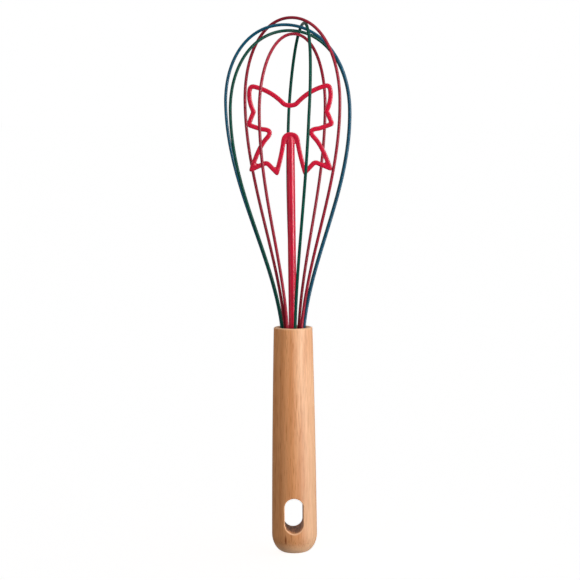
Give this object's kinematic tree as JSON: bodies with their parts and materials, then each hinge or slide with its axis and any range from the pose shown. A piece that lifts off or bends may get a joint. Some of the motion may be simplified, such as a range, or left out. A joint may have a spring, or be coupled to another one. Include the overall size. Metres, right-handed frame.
{
  "type": "silicone whisk",
  "caption": "Balloon whisk of nested silicone-coated wire loops round a ribbon bow on a stem, in a turned wooden handle with a hanging slot.",
  "frame": {"origin": "centre of the small flat at the handle's lower end", "axes": "+Z along the handle's axis to the balloon, +X to the right and -Y to the front of the bow and of the slot"},
  "size_m": [0.0657, 0.0668, 0.2783],
  "materials": {
    "beech": "turned beech, sanded and lightly oiled",
    "plug": "moulded nylon",
    "loop_red": "satin silicone",
    "loop_green": "satin silicone",
    "loop_blue": "satin silicone",
    "bow_red": "satin silicone",
    "spring_steel": "drawn wire"
  },
  "bodies": {
    "root": {"wooden_handle": "beech", "wire_plug": "plug", "outer_red_coat": "loop_red", "narrow_green_coat": "loop_green", "blue_coat": "loop_blue", "wide_green_coat": "loop_green", "inner_red_coat": "loop_red", "outer_red_core": "spring_steel", "narrow_green_core": "spring_steel", "blue_core": "spring_steel", "wide_green_core": "spring_steel", "inner_red_core": "spring_steel", "bow_overmould": "bow_red", "bow_frame": "spring_steel"}
  },
  "joints": []
}
